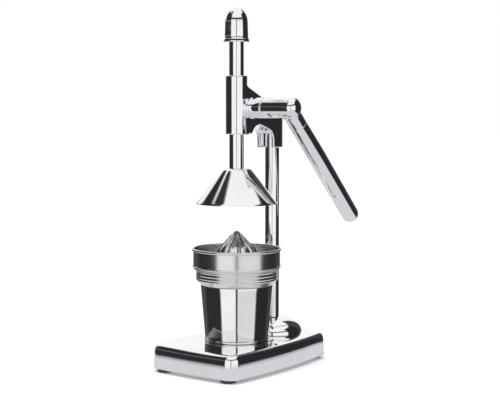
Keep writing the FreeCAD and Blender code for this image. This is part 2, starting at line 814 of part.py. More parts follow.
def pieces():
    """Every piece of the press, by name."""
    made = {
        "base_shell": base_shell(),
        "base_plate": base_plate(),
        "column_foot": column_foot(),
        "column": column(),
        "column_spacer": column_spacer(),
        "column_washer": column_washer(),
        "column_bolt": column_bolt(),
        "head_casting": head_casting(),
        "saddle_screws": saddle_screws(),
        "upper_rod_bush": rod_bush(sleeve_top - rod_bush_length),
        "lower_rod_bush": rod_bush(sleeve_bottom),
        "shaft_bush": shaft_bush(),
        "pinion_cover": pinion_cover(),
        "pinion_shaft": pinion_shaft(),
        "lever_hub": lever_hub(),
        "hub_grub_screw": hub_grub_screw(),
        "lever_arm": lever_arm(),
        "lever_end_cap": lever_end_cap(),
        "ram_rod": ram_rod(),
        "top_knob": top_knob(),
        "press_bell": press_bell(),
        "bell_washer": bell_washer(),
        "bell_screw": bell_screw(),
        "juice_cup": juice_cup(),
        "strainer_bowl": strainer_bowl(),
        "reamer_cone": reamer_cone(),
    }
    for name, (x, y) in corner_places().items():
        made["foot_" + name] = foot(x, y)
    made["foot_screws"] = Part.makeCompound([foot_screw(x, y) for x, y in corner_places().values()])
    return made


os.makedirs("parts", exist_ok=True)
for name, shape in pieces().items():
    if not shape.isValid():
        raise ValueError(name + " is not a valid solid")
    shape.translate(Vector(-middle_right, -middle_back, 0))
    shape.exportStep("parts/" + name + ".step")
    print(name, len(shape.Solids), round(shape.Volume, 1))
print("lever turns", round(math.degrees(ram_down / pinion_radius), 1), "degrees to the stop")
print("ram's axis", -middle_right, -middle_back, "lever's axis", axis_offset - middle_back, axis_height)
print("bell", bell_bottom, bell_top, "rim", rim_height, "cup", cup_floor, cup_top)
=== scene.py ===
"""The looks of a lever citrus juice press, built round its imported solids.

Metres, Z up. Lengths in the tables of shapes are millimetres from the point on the floor under the
ram's axis, and every mesh is moved from there to the ram's place in the frame.
"""

import json
import math

import bmesh
import bpy
import numpy as np
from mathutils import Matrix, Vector


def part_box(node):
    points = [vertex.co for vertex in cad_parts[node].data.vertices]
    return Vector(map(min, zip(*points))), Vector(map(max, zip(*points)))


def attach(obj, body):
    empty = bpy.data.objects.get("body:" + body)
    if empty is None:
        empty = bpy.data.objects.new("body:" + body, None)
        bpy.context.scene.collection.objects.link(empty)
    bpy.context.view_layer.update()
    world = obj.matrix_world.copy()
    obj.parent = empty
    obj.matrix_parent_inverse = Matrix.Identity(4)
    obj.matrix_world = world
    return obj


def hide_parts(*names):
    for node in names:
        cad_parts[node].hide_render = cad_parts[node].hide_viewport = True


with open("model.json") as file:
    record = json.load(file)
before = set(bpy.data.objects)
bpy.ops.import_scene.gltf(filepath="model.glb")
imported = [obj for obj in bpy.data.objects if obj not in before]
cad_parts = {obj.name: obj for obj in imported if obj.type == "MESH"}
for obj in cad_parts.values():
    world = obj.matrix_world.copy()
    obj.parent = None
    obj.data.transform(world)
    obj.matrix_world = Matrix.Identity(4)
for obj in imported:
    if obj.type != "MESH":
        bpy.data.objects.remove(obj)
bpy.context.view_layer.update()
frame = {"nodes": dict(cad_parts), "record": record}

MM = 0.001
ram_low, ram_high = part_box("ram_rod")
RAM_PLACE = np.array([(ram_low[0] + ram_high[0]) / 2, (ram_low[1] + ram_high[1]) / 2, 0.0])
AROUND = 160
SHARP_ANGLE = math.radians(32)

# Places and sizes of the press, in millimetres
ROD_RADIUS = 8.0
BAR_BORE = 8.05
COLUMN_Y = 66.0
COLUMN_TOP = 272.0
SLEEVE_RADIUS = 11.8
SLEEVE_BOTTOM = 254.0
SLEEVE_TOP = 317.5
SADDLE_BOTTOM = 238.0
LEVER_Y = 14.5
LEVER_Z = 282.6
HUB_RADIUS = 11.25
ARM_X = 58.5
ARM_TURN = math.radians(44.6)
ARM_AXIS = np.array([0.0, math.cos(ARM_TURN), -math.sin(ARM_TURN)])
TRAY_TOP = 29.5
TRAY_WALL = 1.5
TRAY_FOOT = 4.0
TRAY_MIDDLE = 8.0
TRAY_CORNER = 14.0
TRAY_HALF_WIDTH = 62.5
TRAY_HALF_DEPTH = 90.5
TRAY_SIDE_BOW = 6.5
TRAY_END_BOW = 2.5
CUP_NEST = 37.83


# Grids and turned forms

def grid_mesh(name, points, wrap_rows, wrap_columns):
    """Quads between neighbours of a grid of points in millimetres, where rows or columns may close on
    themselves."""
    rows, columns = points.shape[:2]
    index = np.arange(rows * columns).reshape(rows, columns)
    if wrap_rows:
        index = np.vstack([index, index[:1]])
    if wrap_columns:
        index = np.hstack([index, index[:, :1]])
    quads = np.stack([index[:-1, :-1], index[:-1, 1:], index[1:, 1:], index[1:, :-1]], axis=-1)
    return closed_mesh(name, points.reshape(-1, 3) * MM, quads.reshape(-1, 4))


def closed_mesh(name, points, faces):
    """A finished mesh of points in metres about the ram's axis, moved to the ram's place."""
    mesh = bpy.data.meshes.new(name)
    mesh.from_pydata((points + RAM_PLACE).tolist(), [], faces.tolist())
    return finished_mesh(mesh)


def finished_mesh(mesh):
    """The mesh with its doubles merged, so that poles and seams close, its faces outward, and smooth up
    to the sharp angle."""
    form = bmesh.new()
    form.from_mesh(mesh)
    bmesh.ops.remove_doubles(form, verts=form.verts, dist=2e-6)
    bmesh.ops.dissolve_degenerate(form, edges=form.edges, dist=1e-7)
    bmesh.ops.recalc_face_normals(form, faces=form.faces)
    form.to_mesh(mesh)
    form.free()
    mesh.shade_smooth()
    mesh.set_sharp_from_angle(angle=SHARP_ANGLE)
    return mesh


def arc_points(centre, radius, start, end, count):
    """Points on a circle between two angles in degrees."""
    turn = np.radians(np.linspace(start, end, count))
    return np.stack([centre[0] + radius * np.cos(turn), centre[1] + radius * np.sin(turn)], axis=1)


def filleted(corners, steps=6):
    """A line through corners (radius, height, fillet), where each corner is rounded by a curve
    that leaves and meets its two sides at the fillet's distance (a quadratic curve)."""
    line = []
    count = len(corners)
    for k, (x, y, size) in enumerate(corners):
        here = np.array([x, y], float)
        if size == 0 or k in (0, count - 1):
            line.append(here[None])
            continue
        before = np.array(corners[k - 1][:2], float) - here
        after = np.array(corners[k + 1][:2], float) - here
        near = min(size, 0.49 * np.linalg.norm(before))
        far = min(size, 0.49 * np.linalg.norm(after))
        a = here + before / np.linalg.norm(before) * near
        b = here + after / np.linalg.norm(after) * far
        t = np.linspace(0, 1, steps)[:, None]
        line.append((1 - t) ** 2 * a + 2 * t * (1 - t) * here + t ** 2 * b)
    return np.vstack(line)


def stretched(profile, step):
    """The same line with more points on its long runs, none further apart than a step."""
    pieces = []
    for a, b in zip(profile[:-1], profile[1:]):
        count = max(1, int(np.linalg.norm(b - a) / step))
        t = np.linspace(0, 1, count + 1)[:-1, None]
        pieces.append(a + (b - a) * t)
    pieces.append(profile[-1:])
    return np.vstack(pieces)


def turned(name, profile, centre=(0.0, 0.0), closed=False, around=AROUND):
    """A profile (radius, height) turned about an upright axis: (r cos t, r sin t, z)."""
    turn = np.linspace(0, 2 * math.pi, around, endpoint=False)
    r, z = profile[:, 0][:, None], profile[:, 1][:, None]
    points = np.stack([
        centre[0] + r * np.cos(turn), centre[1] + r * np.sin(turn), z + 0 * turn,
    ], axis=-1)
    return grid_mesh(name, points, closed, True)


def turned_on(name, profile, origin, axis, closed=False, around=AROUND):
    """A profile (radius, reach) turned about any axis through an origin."""
    axis = np.array(axis, float)
    side = np.cross(axis, [0.0, 0.0, 1.0]) if abs(axis[2]) < 0.9 else np.array([1.0, 0.0, 0.0])
    side /= np.linalg.norm(side)
    other = np.cross(axis, side)
    turn = np.linspace(0, 2 * math.pi, around, endpoint=False)[None, :, None]
    r, reach = profile[:, 0][:, None, None], profile[:, 1][:, None, None]
    points = np.array(origin, float) + axis * reach + r * (np.cos(turn) * side + np.sin(turn) * other)
    return grid_mesh(name, points, closed, True)


# Cast forms: the zero surface of a field of distances

def implicit_mesh(name, field, low, high, step):
    """The surface where a field is zero: one point in each crossed cell, moved along the field's slope
    on to the surface, and one quad across each crossed edge of the lattice."""
    axes = [np.arange(a, b + step, step) for a, b in zip(low, high)]
    lattice = np.stack(np.meshgrid(*axes, indexing="ij"), axis=-1)
    inside = field(lattice) < 0
    shape = np.array(inside.shape) - 1
    count = sum(
        inside[i:i + shape[0], j:j + shape[1], k:k + shape[2]].astype(np.int8)
        for i in (0, 1) for j in (0, 1) for k in (0, 1)
    )
    cells = np.argwhere((count > 0) & (count < 8))
    number = -np.ones(tuple(shape), int)
    number[tuple(cells.T)] = np.arange(len(cells))
    start = np.array(low) + (cells + 0.5) * step
    points = start.copy()
    small = step * 0.05
    for _ in range(5):
        value = field(points)
        slope = np.stack([
            (field(points + small * side) - field(points - small * side)) / (2 * small) for side in np.eye(3)
        ], axis=-1)
        size = np.maximum((slope ** 2).sum(-1), 0.2)
        points = points - (value / size)[:, None] * slope
        points = np.clip(points, start - step, start + step)
    quads = []
    for a in range(3):
        b, c = (a + 1) % 3, (a + 2) % 3
        first = np.take(inside, range(0, inside.shape[a] - 1), axis=a)
        second = np.take(inside, range(1, inside.shape[a]), axis=a)
        edges = np.argwhere(first != second)
        keep = (edges[:, b] > 0) & (edges[:, c] > 0) & (edges[:, b] < shape[b]) & (edges[:, c] < shape[c])
        edges = edges[keep]
        ring = []
        for db, dc in ((-1, -1), (0, -1), (0, 0), (-1, 0)):
            cell = edges.copy()
            cell[:, b] += db
            cell[:, c] += dc
            ring.append(number[tuple(cell.T)])
        quads.append(np.stack(ring, axis=-1))
    return closed_mesh(name, points * MM, np.vstack(quads))


def blend_union(a, b, radius):
    """The union of two fields with a fillet of about the given radius where they meet."""
    share = np.clip(0.5 + 0.5 * (b - a) / radius, 0, 1)
    return b * (1 - share) + a * share - radius * share * (1 - share)


def blend_cut(a, b, radius):
    """The first field without the second, its edges rounded."""
    return -blend_union(-a, b, radius)


def disc_field(u, v, radius):
    """The distance to a round bar, from the two coordinates across it."""
    return np.sqrt(u * u + v * v) - radius


def slab_field(value, low, high):
    """The distance to the space between two planes."""
    return np.maximum(low - value, value - high)


def both(a, b, rounding):
    """Where two fields overlap, with the edge between them rounded."""
    return -blend_union(-a, -b, rounding)


def polygon_field(u, v, corners):
    """The signed distance to a closed polygon: least distance to a side, negative inside."""
    best = np.full(u.shape, 1e9)
    sign = np.ones(u.shape)
    for (au, av), (bu, bv) in zip(corners, np.roll(corners, -1, axis=0)):
        du, dv = bu - au, bv - av
        t = np.clip(((u - au) * du + (v - av) * dv) / (du * du + dv * dv), 0, 1)
        best = np.minimum(best, (u - au - t * du) ** 2 + (v - av - t * dv) ** 2)
        crosses = (av > v) != (bv > v)
        with np.errstate(divide="ignore", invalid="ignore"):
            beyond = u < (bu - au) * (v - av) / (bv - av) + au
        sign = np.where(crosses & beyond, -sign, sign)
    return sign * np.sqrt(best)


# Materials

def value_group(name, inputs, outputs):
    """An empty shader group with float or vector inputs and float outputs."""
    group = bpy.data.node_groups.new(name, "ShaderNodeTree")
    for title, kind, start in inputs:
        socket = group.interface.new_socket(title, in_out="INPUT", socket_type="NodeSocket" + kind)
        if kind == "Float":
            socket.default_value = start
    for title in outputs:
        group.interface.new_socket(title, in_out="OUTPUT", socket_type="NodeSocketFloat")
    entry = group.nodes.new("NodeGroupInput")
    leave = group.nodes.new("NodeGroupOutput")
    return group, entry, leave


def noise(tree, vector, scale, detail, stretch=(1.0, 1.0, 1.0)):
    """Noise on stretched coordinates."""
    mapping = tree.nodes.new("ShaderNodeMapping")
    mapping.inputs["Scale"].default_value = stretch
    tree.links.new(vector, mapping.inputs["Vector"])
    texture = tree.nodes.new("ShaderNodeTexNoise")
    texture.inputs["Scale"].default_value = scale
    texture.inputs["Detail"].default_value = detail
    tree.links.new(mapping.outputs["Vector"], texture.inputs["Vector"])
    return texture.outputs["Fac"]


def ranged(tree, value, low, high, start=0.3, end=0.7):
    """A value carried from one range to another."""
    node = tree.nodes.new("ShaderNodeMapRange")
    for title, number in (("From Min", start), ("From Max", end)):
        node.inputs[title].default_value = number
    for title, number in (("To Min", low), ("To Max", high)):
        if isinstance(number, (int, float)):
            node.inputs[title].default_value = number
        else:
            tree.links.new(number, node.inputs[title])
    tree.links.new(value, node.inputs["Value"])
    return node.outputs["Result"]


def reckoned(tree, operation, a, b):
    """Two numbers or sockets put through a calculation."""
    node = tree.nodes.new("ShaderNodeMath")
    node.operation = operation
    for socket, value in zip(node.inputs, (a, b)):
        if isinstance(value, (int, float)):
            socket.default_value = value
        else:
            tree.links.new(value, socket)
    return node.outputs["Value"]


def wiped_metal_group():
    """Roughness of a wiped polished metal: smudges a few centimetres wide and fine wiping hairlines."""
    group, entry, leave = value_group(
        "wiped_metal",
        [("Vector", "Vector", None), ("Least", "Float", 0.04), ("Most", "Float", 0.09),
         ("Hairlines", "Float", 0.01)],
        ["Roughness", "Smudge", "Height"])
    vector = entry.outputs["Vector"]
    smudge = noise(group, vector, 34.0, 3.0)
    hairline = noise(group, vector, 260.0, 2.0, (1.0, 1.0, 9.0))
    ripple = noise(group, vector, 90.0, 1.0)
    clean = ranged(group, smudge, entry.outputs["Least"], entry.outputs["Most"], 0.42, 0.72)
    wiped = ranged(group, hairline, 0.0, 1.0, 0.55, 0.75)
    lines = reckoned(group, "MULTIPLY", wiped, entry.outputs["Hairlines"])
    group.links.new(reckoned(group, "ADD", clean, lines), leave.inputs["Roughness"])
    group.links.new(ranged(group, smudge, 0.0, 1.0, 0.42, 0.72), leave.inputs["Smudge"])
    group.links.new(ripple, leave.inputs["Height"])
    return group


def spun_metal_group():
    """Fine rings left by spinning: noise squeezed along the height, and soft patches of wear."""
    group, entry, leave = value_group(
        "spun_metal",
        [("Vector", "Vector", None), ("Least", "Float", 0.22), ("Most", "Float", 0.36)],
        ["Roughness", "Rings", "Height"])
    vector = entry.outputs["Vector"]
    rings = noise(group, vector, 40.0, 4.0, (0.6, 0.6, 60.0))
    fine = noise(group, vector, 60.0, 2.0, (1.5, 1.5, 160.0))
    patch = noise(group, vector, 26.0, 2.0)
    both_rings = reckoned(group, "MULTIPLY", reckoned(group, "ADD", rings, fine), 0.5)
    ring_share = reckoned(group, "MULTIPLY", both_rings, 0.75)
    patch_share = reckoned(group, "MULTIPLY", patch, 0.25)
    mixed = reckoned(group, "ADD", ring_share, patch_share)
    rough = ranged(group, mixed, entry.outputs["Least"], entry.outputs["Most"], 0.35, 0.65)
    group.links.new(rough, leave.inputs["Roughness"])
    group.links.new(ranged(group, both_rings, 0.0, 1.0, 0.35, 0.65), leave.inputs["Rings"])
    group.links.new(both_rings, leave.inputs["Height"])
    return group


WIPED = wiped_metal_group()
SPUN = spun_metal_group()


def metal(name, group, colour, dull_colour, settings, bump, bump_distance):
    """A metal whose roughness and slight tint follow a shared group."""
    material = bpy.data.materials.new(name)
    material.use_nodes = True
    tree = material.node_tree
    shader = tree.nodes["Principled BSDF"]
    shader.inputs["Metallic"].default_value = 1.0
    place = tree.nodes.new("ShaderNodeTexCoord")
    wear = tree.nodes.new("ShaderNodeGroup")
    wear.node_tree = group
    tree.links.new(place.outputs["Object"], wear.inputs["Vector"])
    for title, number in settings.items():
        wear.inputs[title].default_value = number
    tint = tree.nodes.new("ShaderNodeMix")
    tint.data_type = "RGBA"
    tint.inputs[6].default_value = (*colour, 1)
    tint.inputs[7].default_value = (*dull_colour, 1)
    mask = "Smudge" if group is WIPED else "Rings"
    tree.links.new(wear.outputs[mask], tint.inputs[0])
    tree.links.new(tint.outputs[2], shader.inputs["Base Color"])
    tree.links.new(wear.outputs["Roughness"], shader.inputs["Roughness"])
    relief = tree.nodes.new("ShaderNodeBump")
    relief.inputs["Strength"].default_value = bump
    relief.inputs["Distance"].default_value = bump_distance
    tree.links.new(wear.outputs["Height"], relief.inputs["Height"])
    tree.links.new(relief.outputs["Normal"], shader.inputs["Normal"])
    return material


def rubber(name):
    """Matt black moulded rubber with a fine grain and a little dust in it."""
    material = bpy.data.materials.new(name)
    material.use_nodes = True
    tree = material.node_tree
    shader = tree.nodes["Principled BSDF"]
    place = tree.nodes.new("ShaderNodeTexCoord").outputs["Object"]
    grain = noise(tree, place, 1400.0, 2.0)
    dust = noise(tree, place, 120.0, 4.0)
    tint = tree.nodes.new("ShaderNodeMix")
    tint.data_type = "RGBA"
    tint.inputs[6].default_value = (0.016, 0.016, 0.017, 1)
    tint.inputs[7].default_value = (0.05, 0.049, 0.047, 1)
    tree.links.new(ranged(tree, dust, 0.0, 1.0, 0.4, 0.8), tint.inputs[0])
    tree.links.new(tint.outputs[2], shader.inputs["Base Color"])
    tree.links.new(ranged(tree, dust, 0.55, 0.75), shader.inputs["Roughness"])
    relief = tree.nodes.new("ShaderNodeBump")
    relief.inputs["Strength"].default_value = 0.35
    relief.inputs["Distance"].default_value = 0.0002
    tree.links.new(grain, relief.inputs["Height"])
    tree.links.new(relief.outputs["Normal"], shader.inputs["Normal"])
    return material


FINISH = {
    "polished_chrome": metal(
        "polished_chrome", WIPED, (0.90, 0.91, 0.925), (0.86, 0.865, 0.88),
        {"Least": 0.03, "Most": 0.075, "Hairlines": 0.02}, 0.03, 0.0004),
    "polished_steel": metal(
        "polished_steel", WIPED, (0.89, 0.885, 0.88), (0.83, 0.825, 0.82),
        {"Least": 0.05, "Most": 0.10, "Hairlines": 0.05}, 0.03, 0.0004),
    "satin_steel": metal(
        "satin_steel", SPUN, (0.80, 0.80, 0.80), (0.70, 0.70, 0.71),
        {"Least": 0.16, "Most": 0.27}, 0.10, 0.00010),
    "plain_steel": metal(
        "plain_steel", WIPED, (0.56, 0.56, 0.57), (0.44, 0.44, 0.45),
        {"Least": 0.24, "Most": 0.42, "Hairlines": 0.12}, 0.10, 0.0003),
    "bearing_bronze": metal(
        "bearing_bronze", SPUN, (0.74, 0.50, 0.26), (0.60, 0.38, 0.18),
        {"Least": 0.20, "Most": 0.38}, 0.15, 0.0002),
    "black_rubber": rubber("black_rubber"),
}


def piece(name, mesh, finish, body, *nodes):
    """A piece that rides on a body and stands for CAD nodes."""
    made = bpy.data.objects.new(name, mesh)
    bpy.context.scene.collection.objects.link(made)
    mesh.materials.clear()
    mesh.materials.append(FINISH[finish])
    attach(made, body)
    if nodes:
        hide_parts(*nodes)


def smoothed_copy(node, finish, body):
    """A CAD node's own shape, its triangles joined so that round faces shade smoothly."""
    mesh = frame["nodes"][node].data.copy()
    mesh.name = node + "_smooth"
    piece(node + "_smooth", finished_mesh(mesh), finish, body, node)


# Tray

def tray_outline(samples=40):
    """The tray's plan as a line of corner centres and the directions outwards from them: four bowed
    sides, each a part of a large circle drawn in by the corner's radius, and a fan at each corner."""
    side_chord = TRAY_HALF_DEPTH - TRAY_END_BOW
    end_chord = TRAY_HALF_WIDTH - TRAY_SIDE_BOW
    side_radius = (side_chord ** 2 + TRAY_SIDE_BOW ** 2) / (2 * TRAY_SIDE_BOW)
    end_radius = (end_chord ** 2 + TRAY_END_BOW ** 2) / (2 * TRAY_END_BOW)
    side_centre = TRAY_HALF_WIDTH - side_radius
    end_centre = TRAY_HALF_DEPTH - end_radius
    r1, r2 = side_radius - TRAY_CORNER, end_radius - TRAY_CORNER
    reach = math.hypot(side_centre, end_centre)
    toward = np.array([-side_centre, end_centre]) / reach
    along = (reach ** 2 + r1 ** 2 - r2 ** 2) / (2 * reach)
    rise = math.sqrt(r1 ** 2 - along ** 2)
    corner = np.array([side_centre, 0.0]) + along * toward + rise * np.array([-toward[1], toward[0]])
    side_end = math.atan2(corner[1], corner[0] - side_centre)
    end_start = math.atan2(corner[1] - end_centre, corner[0])
    side_turn = np.linspace(0, side_end, samples)[:-1]
    fan_turn = np.linspace(side_end, end_start, 24)
    end_turn = np.linspace(end_start, math.pi / 2, samples)[1:]
    turn = np.concatenate([side_turn, fan_turn, end_turn])
    side = np.stack([side_centre + r1 * np.cos(side_turn), r1 * np.sin(side_turn)], axis=1)
    fan = np.repeat(corner[None], len(fan_turn), axis=0)
    end = np.stack([r2 * np.cos(end_turn), end_centre + r2 * np.sin(end_turn)], axis=1)
    centre = np.vstack([side, fan, end])
    out = np.stack([np.cos(turn), np.sin(turn)], axis=1)
    flip = np.array([-1.0, 1.0])
    half_centre = np.vstack([centre, (centre * flip)[::-1][1:]])
    half_out = np.vstack([out, (out * flip)[::-1][1:]])
    back = np.array([1.0, -1.0])
    whole_centre = np.vstack([half_centre, (half_centre * back)[::-1][1:-1]])
    whole_out = np.vstack([half_out, (half_out * back)[::-1][1:-1]])
    return whole_centre + [0.0, TRAY_MIDDLE], whole_out


def tray_shell():
    """The drawn tray: the plan carried up the skirt, over the shoulder and in to the middle of the top,
    then back along the under side a wall's thickness below."""
    centre, out = tray_outline()
    flat_inset = 13.9
    below = TRAY_TOP - TRAY_WALL
    outer = filleted([
        (0.5, TRAY_FOOT, 0), (0.15, TRAY_FOOT, 0.3), (0.0, 4.6, 0.3), (1.15, TRAY_TOP, 9.5),
        (flat_inset, TRAY_TOP, 0),
    ], 16)
    inner = filleted([
        (flat_inset, below, 0), (2.7, below, 8.3), (1.5, 4.4, 0.3), (1.1, TRAY_FOOT, 0.3),
        (0.5, TRAY_FOOT, 0),
    ], 12)
    rows = []
    for inset, height in outer:
        rows.append(np.column_stack([centre + out * (TRAY_CORNER - inset), np.full(len(centre), height)]))
    middle = np.array([0.0, TRAY_MIDDLE])
    flat = centre + out * (TRAY_CORNER - flat_inset)
    shares = (0.9, 0.7, 0.45, 0.2, 0.0)
    for face, order in ((TRAY_TOP, shares), (below, shares[::-1])):
        for share in order:
            rows.append(np.column_stack([middle + (flat - middle) * share, np.full(len(flat), face)]))
    for inset, height in inner:
        rows.append(np.column_stack([centre + out * (TRAY_CORNER - inset), np.full(len(centre), height)]))
    return grid_mesh("tray", np.array(rows), False, True)


piece("tray", tray_shell(), "polished_chrome", "stand", "base_shell")


# Column and its foot

def mound():
    """A low dome round the column, z = top of tray + 17.5 sqrt(1 - (r / 34)^2), cut away at the front by
    the upright cylinder in which the cup nests."""
    turn = np.linspace(0, 2 * math.pi, 240, endpoint=False)
    dome, rise, bore_top, edge_round = 34.0, 17.5, 40.0, 0.6
    forward = -np.sin(turn)
    reach = forward * COLUMN_Y
    inside = reach ** 2 - COLUMN_Y ** 2 + CUP_NEST ** 2
    meets = (inside > 0) & (forward > 0)
    edge = np.where(meets, reach - np.sqrt(np.maximum(inside, 0)), dome)
    edge = np.minimum(edge, dome)
    share = np.sin(np.linspace(0, math.pi / 2, 26))[:, None]
    radius = BAR_BORE + (edge - BAR_BORE) * share
    height = TRAY_TOP + rise * np.sqrt(np.maximum(0, 1 - (radius / dome) ** 2))
    near_edge = np.clip(1 - (edge - radius) / edge_round, 0, 1)
    height = height - edge_round * near_edge ** 2 * (edge < dome - 0.2)
    height = np.maximum(height, TRAY_TOP)
    wall = np.linspace(1, 0, 6)[1:, None] * (height[-1] - TRAY_TOP) + TRAY_TOP
    level = np.ones((1, len(turn)))
    rows_r = np.vstack([BAR_BORE * level, radius, np.repeat(edge[None], 5, axis=0), BAR_BORE * level])
    rows_z = np.vstack([bore_top * level, height, wall, TRAY_TOP * level])
    points = np.stack([rows_r * np.cos(turn), COLUMN_Y + rows_r * np.sin(turn), rows_z], axis=-1)
    return grid_mesh("mound", points, True, True)


piece("mound", mound(), "polished_chrome", "stand", "column_foot")
column_line = filleted([
    (0, 13, 0), (7, 13, 0.4), (7, 41, 0.2), (ROD_RADIUS, 41, 0.4), (ROD_RADIUS, COLUMN_TOP, 0.8),
    (0, COLUMN_TOP, 0),
])
column_bar = turned("column_bar", stretched(column_line, 12), (0, COLUMN_Y))
piece("column_bar", column_bar, "polished_chrome", "stand", "column")


# Head casting

def head_field(points):
    """Distances to the head: a round sleeve, a web with a sloping top and an arch, a saddle round the
    column and a boss for the lever's shaft, blended where they meet, less their bores."""
    x, y, z = points[..., 0], points[..., 1], points[..., 2]
    sleeve = both(disc_field(x, y, SLEEVE_RADIUS), slab_field(z, SLEEVE_BOTTOM, SLEEVE_TOP), 1.4)
    plan = disc_field(x, y - np.clip(y, 0, COLUMN_Y), SLEEVE_RADIUS)
    side = polygon_field(y, z, HEAD_SIDE)
    web = both(plan, side, 2.0)
    boss = both(disc_field(y - LEVER_Y, z - LEVER_Z, HUB_RADIUS), slab_field(x, -6.0, 28.2), 1.2)
    head = blend_union(blend_union(sleeve, web, 1.8), boss, 1.2)
    bore = np.maximum(disc_field(x, y, 9.5), slab_field(z, 240.0, 330.0))
    cavity = np.maximum(disc_field(y - LEVER_Y, z - LEVER_Z, 11.3), slab_field(x, -30.0, 4.1))
    bush = np.maximum(disc_field(y - LEVER_Y, z - LEVER_Z, 8.0), slab_field(x, 0.0, 40.0))
    post = np.maximum(disc_field(x, y - COLUMN_Y, BAR_BORE), slab_field(z, 220.0, COLUMN_TOP))
    slot = np.maximum(slab_field(x, -BAR_BORE, BAR_BORE), slab_field(y, 40.0, COLUMN_Y))
    slot = np.maximum(slot, slab_field(z, 220.0, SLEEVE_BOTTOM))
    for cut, edge in ((bore, 0.8), (cavity, 0.4), (bush, 0.6), (post, 0.8), (slot, 1.4)):
        head = blend_cut(head, cut, edge)
    screw_heights = (246.5, 261.8)
    for height in screw_heights:
        hole = np.maximum(disc_field(x, z - height, 2.6), slab_field(y, COLUMN_Y, 90.0))
        head = blend_cut(head, hole, 0.4)
    return head


def head_side():
    """The web's outline from the side, in Y and Z: a quadratic curve over the arch and down the throat."""
    t = np.linspace(0, 1, 14)[:, None]

    def curve(a, b, c):
        return (1 - t) ** 2 * np.array(a) + 2 * t * (1 - t) * np.array(b) + t ** 2 * np.array(c)

    saddle_front, saddle_back = 53.0, COLUMN_Y + SLEEVE_RADIUS
    arch = curve((13.3, SLEEVE_BOTTOM), (18.2, 263.9), (27.0, 264.0))
    throat = curve((43.0, 259.0), (52.6, 256.4), (saddle_front, 245.2))
    ends = [
        (saddle_front, SADDLE_BOTTOM), (saddle_back, SADDLE_BOTTOM), (saddle_back, 274.3), (0.0, 308.5),
        (0.0, SLEEVE_BOTTOM),
    ]
    return np.vstack([arch, throat, ends])


HEAD_SIDE = head_side()
head_mesh = implicit_mesh("head", head_field, (-13.0, -13.0, 236.6), (29.6, 79.0, 319.0), 0.75)
piece("head", head_mesh, "polished_chrome", "stand", "head_casting")

cover_line = filleted([
    (0, -13.9, 0), (7.0, -13.9, 0.4), (7.4, -13.5, 0.2), (12.6, -13.8, 0.6), (13.4, -13.2, 0.5),
    (13.4, -11.8, 0.1), (11.25, -11.8, 0.1), (11.25, -8.8, 0.2), (0, -8.8, 0),
])
piece("pinion_cap", turned_on("pinion_cap", cover_line, (0, LEVER_Y, LEVER_Z), (1, 0, 0)),
      "polished_chrome", "stand", "pinion_cover")


# Lever

def hub_field(points):
    """Distances to the lever's hub: a round bar with a domed end and the neck of the arm, blended."""
    hub_start, dome_start, dome_rise = 28.5, 64.0, 8.1
    x, y, z = points[..., 0], points[..., 1] - LEVER_Y, points[..., 2] - LEVER_Z
    radial = np.sqrt(y * y + z * z)
    bar = both(radial - HUB_RADIUS, slab_field(x, hub_start, 66.0), 1.2)
    dome = (np.sqrt((radial / HUB_RADIUS) ** 2 + ((x - dome_start) / dome_rise) ** 2) - 1) * dome_rise
    dome = np.maximum(dome, 60.0 - x)
    along = y * ARM_AXIS[1] + z * ARM_AXIS[2]
    across = np.sqrt((x - ARM_X) ** 2 + np.maximum(radial ** 2 - along ** 2, 0))
    neck = both(across - 9.3, slab_field(along, 0.0, 26.0), 0.4)
    hub = blend_union(blend_union(both(bar, x - dome_start, 0.01), dome, 0.4), neck, 1.2)
    screw = np.maximum(np.sqrt((x - 39.5) ** 2 + along ** 2) - 2.6, z)
    return blend_cut(hub, np.maximum(screw, -radial + 7.0), 0.4)


hub_mesh = implicit_mesh("hub", hub_field, (27.4, -1.0, 251.0), (73.6, 44.0, 295.4), 0.7)
piece("hub", hub_mesh, "polished_chrome", "lever", "lever_hub")

ARM_END = 173.5
arm_origin = (ARM_X, LEVER_Y, LEVER_Z)
arm_line = filleted([
    (7.6, 26.0, 0), (9.1, 26.0, 0.15), (9.3, 26.2, 0.1), (9.75, 46.0, 4), (10.3, 70.0, 8), (10.0, 173.3, 0.2),
    (9.8, ARM_END, 0.1), (7.6, ARM_END, 0),
])
arm = turned_on("arm", stretched(arm_line, 8), arm_origin, ARM_AXIS, True)
piece("arm", arm, "polished_chrome", "lever", "lever_arm")
cap_turn = np.linspace(0, math.pi / 2, 20)
cap_dome = np.stack([9.85 * np.cos(cap_turn), 173.65 + 9.2 * np.sin(cap_turn)], axis=1)
cap_line = np.vstack([[(0, 155.5), (7.55, 155.5), (7.55, ARM_END), (9.6, 173.52), (9.8, 173.58)], cap_dome])
cap_line[-1, 0] = 0
arm_cap = turned_on("arm_cap", cap_line, arm_origin, ARM_AXIS)
piece("arm_cap", arm_cap, "polished_chrome", "lever", "lever_end_cap")


# Ram

knob_radius, knob_shoulder, knob_rise = 12.4, 374.2, 16.5
dome_turn = np.linspace(0, math.pi / 2, 36)
knob_dome = np.stack([knob_radius * np.cos(dome_turn), knob_shoulder + knob_rise * np.sin(dome_turn)], axis=1)
knob_dome[-1, 0] = 0
flare = np.linspace(0, 1, 14)[:, None]
knob_cove = (1 - flare) ** 2 * [13.6, 356.7] + 2 * flare * (1 - flare) * [12.9, 357.5]
knob_cove = knob_cove + flare ** 2 * [12.8, 360.5]
knob_foot = filleted([
    (0, 353.3, 0), (13.8, 353.3, 0.4), (14.2, 354.2, 0.5), (13.75, 356.6, 0.3), (13.6, 356.7, 0),
])
knob_body = stretched(np.array([[12.8, 361.0], [knob_radius, 373.8]]), 4)
knob_line = np.vstack([knob_foot, knob_cove[1:], knob_body, knob_dome])
piece("knob", turned("knob", knob_line), "polished_chrome", "ram", "top_knob")

